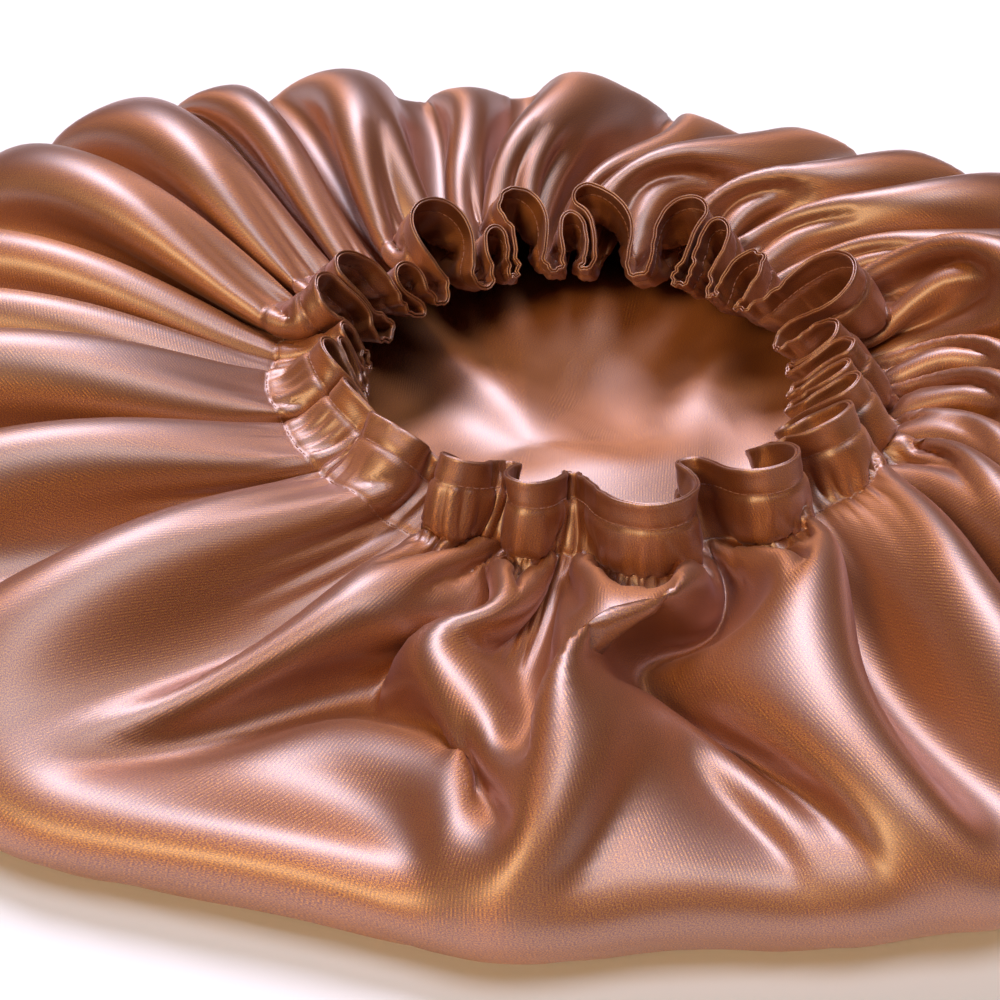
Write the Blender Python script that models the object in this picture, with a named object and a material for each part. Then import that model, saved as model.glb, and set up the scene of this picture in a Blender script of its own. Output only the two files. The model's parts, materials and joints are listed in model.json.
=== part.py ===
"""A sleep bonnet lying crown down with its head opening upwards, in metres, +Z up.

Two flat circles of satin, an outer shell and a lining, are joined along their edge. Two rows
of stitches below the edge make a casing, and the elastic in it gathers both circles into
flutes round the head opening. The flutes run on over the bag as folds that fade at its rim.
The origin is on the floor under the middle of the opening. Azimuths are in degrees from +X
towards +Y, so that 270 is the front.
"""

import bpy
import numpy as np

# Driving sizes.
CUT_RADIUS = 0.345  # of each satin circle, from its centre to the seam
HEADER = 0.007  # ruffle between the seam and the upper row of stitches
CASING = 0.015  # between the two rows of stitches, where the elastic runs
ELASTIC = 0.013  # width of the elastic
WALL = 0.001  # each cloth wall, and the elastic
GAP = 0.0003  # between the shell and the lining
ELASTIC_GAP = 0.0004  # between the elastic and the cloth on either side of it
BAND_RADIUS = 0.081  # of the middle of the flutes at the lower row of stitches
BAND_HEIGHT = 0.028  # of that row above the floor
BAND_LEAN = 34.0  # degrees that the band leans inwards
FRONT_LEAN = 20.0  # the same at the front, where it stands up
FRONT = 281.0  # azimuth of the front flute
FRONT_WIDTH = 120.0  # degrees over which the band stands up
CROWN_OFFSET = (-0.015, 0.003)  # of the bag's middle from the opening's
FINE = 6  # points across each flute round the opening and over the bag
COARSE = 3  # points across each flute at the rim and on the crown
SHARP = 50.0  # degrees: an edge that turns more than this is shaded sharp
STEADY = 0.05  # keeps a mitre finite where the faces round a point are nearly parallel
LONGEST_MITRE = 1.7  # times the wall that it makes
FLOOR = WALL + GAP / 2  # height of the middle sheet where the shell lies on the floor

# One row per flute, anticlockwise from the front one: the azimuth of its crest round the
# opening and over the bag, its cloth compared with a plain flute, and the degrees that its
# crest leans anticlockwise round the opening and over the bag.
FLUTES = [
    {"ring": 280, "bag": 268, "cloth": 1.15, "sway": 10, "slump": -14},
    {"ring": 297, "bag": 287, "cloth": 0.95, "sway": 17, "slump": 8},
    {"ring": 309, "bag": 298, "cloth": 1.00, "sway": 16, "slump": 12},
    {"ring": 321, "bag": 310, "cloth": 1.00, "sway": 12, "slump": 10},
    {"ring": 333, "bag": 323, "cloth": 1.00, "sway": 9, "slump": 6},
    {"ring": 345, "bag": 336, "cloth": 0.95, "sway": 5, "slump": 4},
    {"ring": 357, "bag": 347, "cloth": 0.95, "sway": 2, "slump": 2},
    {"ring": 9, "bag": 358, "cloth": 0.95, "sway": 0, "slump": 0},
    {"ring": 21, "bag": 9, "cloth": 1.00, "sway": -2, "slump": 0},
    {"ring": 34, "bag": 21, "cloth": 1.10, "sway": -3, "slump": -4},
    {"ring": 48, "bag": 34, "cloth": 1.05, "sway": -2, "slump": -4},
    {"ring": 61, "bag": 46, "cloth": 1.00, "sway": 0, "slump": -2},
    {"ring": 73, "bag": 58, "cloth": 0.95, "sway": 2, "slump": 0},
    {"ring": 86, "bag": 72, "cloth": 1.10, "sway": 1, "slump": 2},
    {"ring": 99, "bag": 86, "cloth": 1.00, "sway": -1, "slump": 4},
    {"ring": 111, "bag": 100, "cloth": 0.95, "sway": -2, "slump": 4},
    {"ring": 123, "bag": 115, "cloth": 0.95, "sway": 0, "slump": 4},
    {"ring": 135, "bag": 129, "cloth": 1.00, "sway": 2, "slump": 6},
    {"ring": 148, "bag": 143, "cloth": 1.05, "sway": 4, "slump": 6},
    {"ring": 161, "bag": 158, "cloth": 1.00, "sway": 3, "slump": 4},
    {"ring": 174, "bag": 172, "cloth": 1.10, "sway": 1, "slump": 0},
    {"ring": 187, "bag": 184, "cloth": 0.95, "sway": -2, "slump": -4},
    {"ring": 200, "bag": 195, "cloth": 1.10, "sway": -5, "slump": -6},
    {"ring": 212, "bag": 206, "cloth": 1.00, "sway": -9, "slump": -8},
    {"ring": 224, "bag": 216, "cloth": 0.95, "sway": -14, "slump": -10},
    {"ring": 236, "bag": 226, "cloth": 0.95, "sway": -18, "slump": -8},
    {"ring": 248, "bag": 238, "cloth": 1.00, "sway": -18, "slump": -4},
    {"ring": 261, "bag": 250, "cloth": 1.05, "sway": -6, "slump": -8},
]

# One row per circle of the cloth, from below the band to the crown: its distance from the
# crown's centre along the cloth, the radius and height at which its folds have their
# middle, the steepness in degrees of the way in which they stand (90 is straight up), how
# far it has turned from "ring" to "bag", its share of PUFFS, and how much of the depth that
# the cloth's length gives them its folds keep, the rest being in wrinkles too fine to model.
CIRCLES = [
    {"arc": 0.301, "radius": 0.104, "height": 0.0320, "stand": 55, "turn": 0.2, "puff": 0.3, "depth": 1.00},
    {"arc": 0.262, "radius": 0.142, "height": 0.0350, "stand": 90, "turn": 1.0, "puff": 1.0, "depth": 1.00},
    {"arc": 0.222, "radius": 0.179, "height": 0.0320, "stand": 70, "turn": 1.0, "puff": 1.0, "depth": 0.85},
    {"arc": 0.205, "radius": 0.195, "height": 0.0160, "stand": 25, "turn": 1.0, "puff": 0.6, "depth": 0.80},
    {"arc": 0.176, "radius": 0.176, "height": FLOOR, "stand": 90, "turn": 1.0, "puff": 0.0, "depth": 0.00},
    {"arc": 0.080, "radius": 0.080, "height": FLOOR, "stand": 90, "turn": 1.0, "puff": 0.0, "depth": 0.00},
]
FINE_CIRCLES = 3  # the first ones have FINE points across a flute, and the rest COARSE

# One row per swelling or dent of the bag: its azimuth, its width in degrees, and how far
# it lifts the top and pushes the rim out.
PUFFS = [
    {"azimuth": 120, "width": 230, "rise": 0.013, "reach": 0.004},
    {"azimuth": 150, "width": 60, "rise": 0.007, "reach": 0.011},
    {"azimuth": 100, "width": 26, "rise": 0.004, "reach": 0.003},
    {"azimuth": 196, "width": 40, "rise": 0.000, "reach": 0.006},
    {"azimuth": 232, "width": 34, "rise": 0.004, "reach": 0.002},
    {"azimuth": 255, "width": 20, "rise": -0.013, "reach": -0.004},
    {"azimuth": 268, "width": 90, "rise": 0.000, "reach": -0.010},
    {"azimuth": 270, "width": 26, "rise": 0.008, "reach": 0.006},
    {"azimuth": 304, "width": 40, "rise": 0.004, "reach": 0.003},
]

STEPS = 240  # along one fold, when it is added up
PHASES = 2 * np.pi * (np.arange(STEPS) + 0.5) / STEPS
SWINGS = np.linspace(0.0, 3.0, 301)  # how far to either side a fold's wall can turn, radians
CHORDS = np.array([np.cos(swing * np.sin(PHASES)).mean() for swing in SWINGS])


def swell(azimuth, centre, width):
    """1 at the centre, falling smoothly to 0 at half the width to either side."""
    off = (azimuth - centre + 180.0) % 360.0 - 180.0
    return np.where(abs(off) < width / 2, np.cos(np.pi * off / width) ** 2, 0.0)


def puffed(azimuth, column):
    return sum(puff[column] * swell(azimuth, puff["azimuth"], puff["width"]) for puff in PUFFS)


def trough_azimuths(turn):
    """The azimuth after each flute's crest at which it meets the next flute."""
    ends = []
    for flute, following in zip(FLUTES, FLUTES[1:] + FLUTES[:1]):
        here = flute["ring"] - turn * ((flute["ring"] - flute["bag"]) % 360.0)
        there = following["ring"] - turn * ((following["ring"] - following["bag"]) % 360.0)
        share = flute["cloth"] / (flute["cloth"] + following["cloth"])
        ends.append(here + share * ((there - here) % 360.0))
    return ends


def meander(cloth, chord, points):
    """Where the points of one fold lie, along its chord and up from it.

    The fold's direction swings as a sine of the distance along the cloth, as far as it must
    for the ends to be one chord apart, so that the cloth keeps its length.
    """
    swing = np.interp(-min(chord / cloth, 1.0), -CHORDS, SWINGS)
    angle = swing * np.sin(PHASES)
    along = np.append(0.0, np.cumsum(np.cos(angle))) * cloth / STEPS
    up = np.append(0.0, np.cumsum(np.sin(angle))) * cloth / STEPS
    at = (np.arange(points) + 0.5) * STEPS / points
    steps = np.arange(STEPS + 1)
    return np.interp(at, steps, along) * chord / along[-1], np.interp(at, steps, up)


def gathered(circle, points):
    """The azimuths of one circle's points, and how far each stands up from the middle."""
    ends = trough_azimuths(circle["turn"])
    all_cloth = sum(flute["cloth"] for flute in FLUTES)
    azimuths, ups = [], []
    for flute, start, end in zip(FLUTES, ends[-1:] + ends[:-1], ends):
        cloth = 2 * np.pi * circle["arc"] * flute["cloth"] / all_cloth
        span = np.radians((end - start) % 360.0)
        along, up = meander(cloth, span * circle["radius"], points)
        up = up * circle["depth"]
        sway = flute["sway"] + circle["turn"] * (flute["slump"] - flute["sway"])
        sway = np.radians(sway)
        along = along + up * np.sin(sway)
        azimuths.append(start + np.degrees(along / circle["radius"]))
        ups.append(up * np.cos(sway))
    up = np.concatenate(ups)
    return np.concatenate(azimuths), up - up.mean()


def in_space(azimuth, across, height, turn):
    """Points at these azimuths, distances from the middle line and heights."""
    x = across * np.cos(np.radians(azimuth)) + CROWN_OFFSET[0] * turn
    y = across * np.sin(np.radians(azimuth)) + CROWN_OFFSET[1] * turn
    return np.stack([x, y, height], axis=1)


def band_circle(above):
    """The circle of the band this far above the lower row of stitches."""
    arc = CUT_RADIUS - HEADER - CASING + above
    azimuth, up = gathered({"arc": arc, "radius": BAND_RADIUS, "turn": 0.0, "depth": 1.0}, FINE)
    lean = BAND_LEAN - (BAND_LEAN - FRONT_LEAN) * swell(azimuth, FRONT, FRONT_WIDTH)
    lean = np.radians(lean)
    across = BAND_RADIUS - above * np.sin(lean) + up * np.cos(lean)
    height = BAND_HEIGHT + above * np.cos(lean) + up * np.sin(lean)
    return in_space(azimuth, across, height, 0.0)


def bag_circle(circle, points):
    """One circle of the bag, from its row of CIRCLES."""
    azimuth, up = gathered(circle, points)
    stand = np.radians(circle["stand"])
    across = circle["radius"] + circle["puff"] * puffed(azimuth, "reach") + up * np.cos(stand)
    height = circle["height"] + circle["puff"] * puffed(azimuth, "rise") + up * np.sin(stand)
    return in_space(azimuth, across, height, circle["turn"])


def strip(upper, lower):
    """Triangles between two circles of points, given as lists of their numbers."""
    faces = []
    count, below = len(upper), len(lower)
    for j in range(below):
        if count == below:
            a, b = upper[j], upper[(j + 1) % count]
            c, d = lower[j], lower[(j + 1) % below]
            faces += [(a, c, d), (a, d, b)]
        else:
            a, b, c = upper[2 * j], upper[2 * j + 1], upper[(2 * j + 2) % count]
            d, e = lower[j], lower[(j + 1) % below]
            faces += [(a, d, b), (b, d, e), (b, e, c)]
    return faces


def sheet():
    """The middle sheet of the bonnet: its circles of points, its points and its triangles."""
    circles = [band_circle(CASING + HEADER), band_circle(CASING), band_circle(0.0)]
    circles += [bag_circle(circle, FINE) for circle in CIRCLES[:FINE_CIRCLES]]
    circles += [bag_circle(circle, COARSE) for circle in CIRCLES[FINE_CIRCLES:]]
    starts = np.cumsum([0] + [len(circle) for circle in circles])
    rows = [list(range(start, start + len(circle))) for start, circle in zip(starts, circles)]
    crown = starts[-1]
    middle = circles[-1].mean(axis=0)
    faces = []
    for upper, lower in zip(rows, rows[1:]):
        faces += strip(upper, lower)
    last = rows[-1]
    faces += [(a, crown, b) for a, b in zip(last, last[1:] + last[:1])]
    return rows, np.vstack(circles + [middle[None]]), faces


def between(values, first, second, share):
    """What lies this share of the way from the first row of points to the second."""
    return values[first] * (1 - share) + values[second] * share


def mitres(points, faces):
    """For each point, the step that moves every face round it outwards by 1."""
    corners = points[np.array(faces)]
    normals = np.cross(corners[:, 1] - corners[:, 0], corners[:, 2] - corners[:, 0])
    normals /= np.linalg.norm(normals, axis=1)[:, None]
    squares, sums = np.zeros((len(points), 3, 3)), np.zeros((len(points), 3))
    for corner in np.array(faces).T:
        np.add.at(squares, corner, normals[:, :, None] * normals[:, None, :])
        np.add.at(sums, corner, normals)
    steadied = squares + STEADY * np.eye(3)
    steps = np.linalg.solve(steadied, sums[:, :, None])[:, :, 0]
    lengths = np.linalg.norm(steps, axis=1)
    return steps * (np.clip(lengths, 1.0, LONGEST_MITRE) / lengths)[:, None]


def add_wall(name, outside, inside, faces, edges, material):
    """A closed wall between two sets of points that share their triangles.

    Each edge is a row of point numbers, closed with a strip. An upper edge runs
    anticlockwise and a lower one clockwise.
    """
    count = len(outside)
    triangles = list(faces) + [(c + count, b + count, a + count) for a, b, c in faces]
    for edge in edges:
        triangles += strip([point + count for point in edge], edge)
    mesh = bpy.data.meshes.new(name)
    mesh.from_pydata(np.vstack([outside, inside]), [], triangles)
    mesh.validate()
    mesh.shade_smooth()
    mesh.set_sharp_from_angle(angle=np.radians(SHARP))
    mesh.materials.append(material)
    wall = bpy.data.objects.new(name, mesh)
    bpy.context.collection.objects.link(wall)
    return wall


def add_material(name, colour, metallic, roughness):
    material = bpy.data.materials.new(name)
    material.use_nodes = True
    shader = material.node_tree.nodes["Principled BSDF"]
    shader.inputs["Base Color"].default_value = (*colour, 1.0)
    shader.inputs["Metallic"].default_value = metallic
    shader.inputs["Roughness"].default_value = roughness
    return material


def main():
    for old in list(bpy.data.objects):
        bpy.data.objects.remove(old)
    rows, points, faces = sheet()
    steps = mitres(points, faces)

    # The shell and the lining lie half a gap to either side of the middle sheet, and the
    # elastic spreads them apart along the casing.
    apart = np.full((len(points), 1), GAP / 2)
    casing = rows[1] + rows[2]
    apart[casing] = WALL / 2 + ELASTIC_GAP
    satin = add_material("rose_gold_satin", (0.55, 0.26, 0.20), 0.35, 0.35)
    lining = add_material("rose_gold_satin_lining", (0.55, 0.26, 0.20), 0.35, 0.38)
    knitted = add_material("white_knitted_elastic", (0.80, 0.78, 0.74), 0.0, 0.85)
    shell_out, shell_in = points + steps * (apart + WALL), points + steps * apart
    lining_out, lining_in = points - steps * apart, points - steps * (apart + WALL)
    pieces = [
        add_wall("outer_shell", shell_out, shell_in, faces, [rows[0]], satin),
        add_wall("lining", lining_out, lining_in, faces, [rows[0]], lining),
    ]

    # The elastic follows the middle sheet between the two rows of stitches.
    margin = (1 - ELASTIC / CASING) / 2
    middle = np.vstack([between(points, rows[1], rows[2], share) for share in (margin, 1 - margin)])
    thicken = np.vstack([between(steps, rows[1], rows[2], share) for share in (margin, 1 - margin)])
    upper = list(range(len(rows[1])))
    lower = [len(upper) + point for point in upper]
    outside, inside = middle + thicken * WALL / 2, middle - thicken * WALL / 2
    edges = [upper, lower[::-1]]
    pieces.append(add_wall("elastic_band", outside, inside, strip(upper, lower), edges, knitted))

    bonnet = bpy.data.objects.new("sleep_bonnet", None)
    bpy.context.collection.objects.link(bonnet)
    for piece in pieces:
        piece.parent = bonnet


main()
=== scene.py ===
"""The looks of a sleep bonnet that lies crown down, with its head opening up.

Two circles of rose gold satin are gathered onto an elastic. The gathered sheet starts as
even, upright folds. Then the two rows of stitches are moved to where the FLUTES table has
them while the rest of the cloth, which keeps its length, finds its own folds over the bag.
Points of it that come near each other are pushed apart, but a few folds that are pressed
hard together beside the casing still cut into each other by a millimetre or two. The
shell, the lining, the elastic and the stitches all follow that one sheet. Lengths are in
metres and azimuths in degrees from +X towards +Y, so that 270 is the front.
"""

import functools
import json
import math

import bpy
import numpy as np
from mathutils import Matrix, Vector

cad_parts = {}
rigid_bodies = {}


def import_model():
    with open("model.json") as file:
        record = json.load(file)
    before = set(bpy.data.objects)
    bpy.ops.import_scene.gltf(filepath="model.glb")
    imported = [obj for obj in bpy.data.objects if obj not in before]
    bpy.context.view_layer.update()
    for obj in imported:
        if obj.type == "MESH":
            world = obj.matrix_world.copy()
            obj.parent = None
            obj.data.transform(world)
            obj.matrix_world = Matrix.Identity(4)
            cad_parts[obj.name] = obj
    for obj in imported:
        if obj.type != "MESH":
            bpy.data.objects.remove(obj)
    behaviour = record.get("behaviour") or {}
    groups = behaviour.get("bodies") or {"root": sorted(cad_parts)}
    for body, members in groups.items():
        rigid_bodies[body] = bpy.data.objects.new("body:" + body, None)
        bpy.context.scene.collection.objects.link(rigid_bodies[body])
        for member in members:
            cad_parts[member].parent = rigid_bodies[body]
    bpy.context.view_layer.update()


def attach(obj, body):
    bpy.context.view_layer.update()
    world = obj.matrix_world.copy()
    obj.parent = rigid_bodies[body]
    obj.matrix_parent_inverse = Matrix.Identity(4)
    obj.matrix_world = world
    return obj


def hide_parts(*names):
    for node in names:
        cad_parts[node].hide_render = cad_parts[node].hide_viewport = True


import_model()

bl_info = {
    "name": "Sleep bonnet",
    "version": (1, 0, 0),
    "blender": (4, 5, 0),
    "location": "View3D > Sidebar > Bonnet",
    "description": "Gathers a round satin sleep bonnet and sets it in a plain studio",
    "category": "Add Mesh",
}


def table(names, rows):
    """A list of one dict for each row of numbers, with these names as its keys."""
    return [dict(zip(names.split(), row)) for row in rows]


# One row per flute, anticlockwise from the front one: the azimuth of its crest round the
# opening and over the bag, its cloth compared with a plain flute, the share of it that is
# in the crest, the degrees that the crest leans anticlockwise round the opening and over
# the bag, the degrees that the band leans inwards there, and how much higher it stands.
FLUTES = table("ring bag cloth crest sway slump lean rise", [
    (280, 278, 1.12, 0.66, 6, -2, 12, 0),
    (305, 294, 1.05, 0.60, 12, 6, 18, 0.001),
    (323, 308, 1.05, 0.56, 22, 10, 28, 0),
    (337, 324, 1.00, 0.50, 12, 8, 38, 0),
    (347, 336, 0.80, 0.50, 6, 4, 42, 0),
    (358, 346, 0.90, 0.50, -8, 2, 44, 0),
    (10, 356, 0.80, 0.50, -14, 0, 44, 0),
    (30, 8, 1.40, 0.58, -16, 0, 40, 0),
    (46, 21, 0.80, 0.50, -4, -4, 42, 0),
    (58, 33, 0.95, 0.50, 8, -4, 40, 0),
    (70, 45, 1.15, 0.58, -10, -2, 38, 0),
    (84, 59, 1.20, 0.60, 20, 0, 36, 0),
    (97, 72, 0.75, 0.50, -10, 2, 34, 0),
    (106, 86, 1.15, 0.56, 8, 4, 36, 0),
    (118, 101, 0.70, 0.48, -12, 4, 38, 0),
    (130, 117, 1.30, 0.60, 0, 4, 40, 0),
    (143, 131, 0.70, 0.48, 16, 4, 40, 0),
    (154, 145, 1.25, 0.58, 18, 4, 40, 0),
    (168, 160, 1.30, 0.60, 10, 4, 42, 0),
    (181, 173, 0.80, 0.50, -14, 0, 44, 0),
    (192, 184, 0.85, 0.50, -22, -4, 44, 0),
    (206, 195, 1.25, 0.56, -36, -6, 42, 0),
    (220, 207, 1.15, 0.52, -44, -8, 42, 0),
    (233, 224, 1.15, 0.52, -40, -4, 38, 0),
    (246, 246, 0.80, 0.50, -22, 2, 28, 0),
    (259, 265, 0.66, 0.56, -8, -4, 18, 0),
])

# One row per circle of the cloth before it is let go, from the edge to the crown's centre:
# its distance from that centre along the cloth, the radius and height at which its folds
# have their middle, the steepness of the way in which they stand, how far it has turned
# from "ring" to "bag", its shares of RIM's two columns and its folds' share of their full
# depth. Above the lower row of stitches the band's lean gives the steepness.
CIRCLES = table("arc radius height stand turn rim top depth", [
    (0.366, 0.080, 0.028, 30, 0.0, 0.0, 0.0, 1.0),
    (0.344, 0.080, 0.028, 30, 0.0, 0.0, 0.0, 1.0),
    (0.320, 0.104, 0.033, 55, 0.2, 0.0, 0.3, 1.0),
    (0.277, 0.142, 0.035, 88, 1.0, 0.5, 1.0, 1.0),
    (0.235, 0.181, 0.031, 75, 1.0, 1.0, 1.0, 0.9),
    (0.217, 0.195, 0.016, 25, 1.0, 0.6, 0.6, 0.8),
    (0.186, 0.176, 0.002, 90, 1.0, 0.3, 0.3, 0.0),
    (0.137, 0.130, 0.002, 90, 1.0, 0.0, 0.0, 0.0),
    (0.052, 0.050, 0.002, 90, 1.0, 0.0, 0.0, 0.0),
    (0.000, 0.000, 0.002, 90, 1.0, 0.0, 0.0, 0.0),
])

# One row per place round the bag: its azimuth from the bag's middle, the radius of the rim
# and the height of the bag's top there, which CIRCLES has as PLAIN.
RIM = table("azimuth rim top", [
    (10, 0.200, 0.040),
    (25, 0.202, 0.048),
    (38, 0.199, 0.047),
    (48, 0.193, 0.035),
    (55, 0.191, 0.030),
    (63, 0.191, 0.034),
    (74, 0.191, 0.041),
    (80, 0.196, 0.050),
    (90, 0.197, 0.046),
    (102, 0.196, 0.053),
    (111, 0.197, 0.049),
    (120, 0.199, 0.050),
    (130, 0.204, 0.071),
    (138, 0.205, 0.066),
    (147, 0.206, 0.063),
    (156, 0.211, 0.064),
    (168, 0.217, 0.064),
    (180, 0.220, 0.060),
    (195, 0.222, 0.048),
    (210, 0.224, 0.042),
    (225, 0.231, 0.036),
    (236, 0.231, 0.032),
    (243, 0.193, 0.028),
    (250, 0.163, 0.024),
    (257, 0.154, 0.026),
    (263, 0.176, 0.032),
    (268, 0.202, 0.037),
    (274, 0.212, 0.036),
    (281, 0.164, 0.034),
    (287, 0.158, 0.030),
    (293, 0.204, 0.033),
    (299, 0.235, 0.036),
    (307, 0.241, 0.036),
    (320, 0.219, 0.037),
    (335, 0.207, 0.038),
    (350, 0.204, 0.038),
])

PLAIN = {"rim": 0.195, "top": 0.035}
CROWN_OFFSET = (-0.015, 0.003)  # of the bag's middle from the opening's
LEAST_RADIUS = 1e-4  # of a circle of the cloth, at the crown's centre
NO_DISTANCE = 0.0005  # a row of the sheet nearer than this is a row of stitches itself
FLOOR = 0.002  # height of the middle sheet where it lies on the floor as it settles
SINK, SINK_BELOW = 0.0012, 0.020  # how far the finished cloth then sinks, below this height
COARSE, FINE = 24, 56  # points across each flute while it settles, and in the finished cloth
STEPS = 360  # along one fold, when it is added up
MOST_SWING, HALVINGS = 3.0, 30  # of a fold's direction in radians, and to find how much
PUCKERS = 0.32  # share of the band's cloth that the small puckers at its stitches take up
PUCKER_REACH = 0.045  # from the lower row of stitches to where the puckers have run out

# The settling cloth. In each round the air in the bag pushes a point out by PRESSURE, and
# SQUASH of a shortening is undone. Over four points the cloth resists bending between the
# arcs of STIFF_DOWN along a radius, and within STIFF_ROUND round the circle. Points are
# strangers where they are more than STRANGERS times the reach apart in the cloth. The
# rows of stitches reach their places after the MOVING share of the coarse rounds, and the
# pulls below then ease off by the EASING share.
PRESSURE = 1.5e-5
SQUASH = 0.3
STIFF_DOWN, STIFF_ROUND = (0.15, 0.335), 0.30
STRANGERS = 2.2
MOVING, EASING = 0.6, 0.8
# How far a point of the bag's broad form, of the bag's folds and of the band is drawn to its
# place in each coarse round, as a share of the way.
FORM_PULL, FOLD_PULL, BAND_PULL = 0.06, 0.05, 0.12
CROWN_WAVES = 6  # round the crown, at most
DRAWN = 0.05  # share by which each row of stitches draws the cloth up
LET_OUT = 0.06  # share of the puckered cloth that goes back into the folds
COARSE_RUN, FINE_RUN = table("rounds quick drop shear bend every reach gap", [
    (320, 60, 2e-5, 0.5, 0.15, 8, 0.0054, 0.0036),
    (70, 4, 1e-5, 0.4, 0.08, 10, 0.0036, 0.0026),
])


def length_setting(name, description, default):
    return bpy.props.FloatProperty(
        name=name, description=description, default=default, unit="LENGTH"
    )


def colour_setting(name, description, default):
    return bpy.props.StringProperty(name=name, description=description, default=default)


class BonnetSizes(bpy.types.PropertyGroup):
    """The sizes of the bonnet."""

    cut_radius: length_setting("Cut radius", "Radius of each flat circle of satin", 0.366)
    header: length_setting("Ruffle", "From the edge to the upper row of stitches", 0.007)
    casing: length_setting("Casing", "Between the two rows of stitches", 0.015)
    layer: length_setting("Half thickness", "From middle sheet to face of the cloth", 0.00045)
    stitch: length_setting("Stitch", "Length of one stitch along the flat cloth", 0.0030)
    thread: length_setting("Thread", "Thickness of the sewing thread", 0.00035)


class BonnetColours(bpy.types.PropertyGroup):
    """The colours of the bonnet, as sRGB hex values."""

    satin: colour_setting("Satin", "The satin's own colour, seen in half light", "#782012")
    weft: colour_setting("Weft", "The weft that glints between the warp floats", "#CA8628")
    thread: colour_setting("Thread", "The sewing thread", "#8F5B4A")
    elastic: colour_setting("Elastic", "The knitted elastic in the casing", "#EDEAE2")
    floor: colour_setting("Floor", "The plain studio floor", "#FCFCFB")


# The sheet before it is let go.


def column(name, rows):
    """The numbers in one column of a table."""
    return np.array([row[name] for row in rows], float)


def seams(sizes):
    """The arcs of the edge and of the upper and the lower row of stitches."""
    upper = sizes.cut_radius - sizes.header
    return sizes.cut_radius, upper, upper - sizes.casing


def eased(share):
    """A share from 0 to 1 that starts and ends gently."""
    return share * share * (3 - 2 * share)


def ramp(value, start, width):
    """A share that goes from 0 at the start to 1 where the value is this width past it."""
    return np.clip((value - start) / width, 0, 1)


def hump(distance, width):
    """A smooth hump, 1 high and about this wide to each side."""
    return np.exp(-((distance / width) ** 2))


def round_bag(azimuth, name):
    """How far a column of RIM differs from its plain value at these azimuths."""
    values = np.interp(azimuth, column("azimuth", RIM), column(name, RIM), period=360)
    return values - PLAIN[name]


def round_ring(azimuth, name):
    """A column of FLUTES at these azimuths, which runs evenly from flute to flute."""
    rings = np.unwrap(column("ring", FLUTES), period=360)
    values = column(name, FLUTES)
    marks = np.append(rings - rings[0], 360)
    return np.interp((azimuth - rings[0]) % 360, marks, np.append(values, values[0]))


def at_arc(arc, name):
    """A column of CIRCLES at this distance from the crown's centre.

    It follows a smooth curve that never overshoots the rows on either side.
    """
    arcs, values = column("arc", CIRCLES)[::-1], column(name, CIRCLES)[::-1]
    rises = np.diff(values) / np.diff(arcs)
    slopes = np.gradient(values, arcs)
    for i in range(1, len(arcs) - 1):
        steepest = 3 * min(abs(rises[i - 1]), abs(rises[i]))
        level = rises[i - 1] * rises[i] <= 0
        slopes[i] = 0.0 if level else math.copysign(min(abs(slopes[i]), steepest), rises[i])
    i = int(np.clip(np.searchsorted(arcs, arc) - 1, 0, len(arcs) - 2))
    width = arcs[i + 1] - arcs[i]
    t = (arc - arcs[i]) / width
    start = (2 * t**3 - 3 * t**2 + 1) * values[i] + (t**3 - 2 * t**2 + t) * width * slopes[i]
    end = (3 * t**2 - 2 * t**3) * values[i + 1] + (t**3 - t**2) * width * slopes[i + 1]
    return start + end


def fold(cloth, chord, crest, points):
    """Where the points of one fold lie, along its chord and up from it.

    The fold's direction swings as a sine, as far as it must for the ends to be one chord
    apart, so that the cloth keeps its length. A wide crest takes more of the cloth.
    """
    t = (np.arange(STEPS) + 0.5) / STEPS
    side = (1 - crest) / 2
    phase = 2 * np.pi * np.interp(t, [0, side, side + crest, 1], [0, 0.25, 0.75, 1])
    low, high = 0.0, MOST_SWING
    for _ in range(HALVINGS):
        swing = (low + high) / 2
        if np.cos(swing * np.sin(phase)).mean() > chord / cloth:
            low = swing
        else:
            high = swing
    angle = low * np.sin(phase)
    along = np.append(0.0, np.cumsum(np.cos(angle))) * cloth / STEPS
    up = np.append(0.0, np.cumsum(np.sin(angle))) * cloth / STEPS
    places = (np.arange(points) + 0.5) * STEPS / points
    steps = np.arange(STEPS + 1)
    return np.interp(places, steps, along) * chord / along[-1], np.interp(places, steps, up)


def puckered(arcs, sizes):
    """The width of the cloth that is left for the folds beside the stitches, as a share."""
    near = np.clip((arcs - seams(sizes)[2] + PUCKER_REACH) / PUCKER_REACH, 0, 1)
    return 1 - PUCKERS * near * near * (3 - 2 * near)


def flute_rows(even):
    """FLUTES, or with even 1 the same flutes all alike, upright and evenly spaced."""
    rows = []
    for i, flute in enumerate(FLUTES):
        level = FLUTES[0]["ring"] + i * 360.0 / len(FLUTES)
        shift = ((level - flute["ring"] + 180) % 360 - 180) * even
        rows.append(
            {
                "ring": flute["ring"] + shift,
                "back": (flute["ring"] - flute["bag"] + 180) % 360 - 180 + shift,
                "cloth": 1 + (flute["cloth"] - 1) * (1 - even),
                "crest": 0.5 + (flute["crest"] - 0.5) * (1 - even),
                "sway": flute["sway"] * (1 - even),
                "slump": flute["slump"] * (1 - even),
            }
        )
    return rows


def flute_ends(rows, turn):
    """The azimuths at which each flute ends, on a circle that has turned this far."""
    here = [row["ring"] - turn * row["back"] for row in rows]
    ends = []
    for i, row in enumerate(rows):
        following = (i + 1) % len(rows)
        share = row["cloth"] / (row["cloth"] + rows[following]["cloth"])
        ends.append(here[i] + share * ((here[following] - here[i]) % 360))
    return ends


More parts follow.
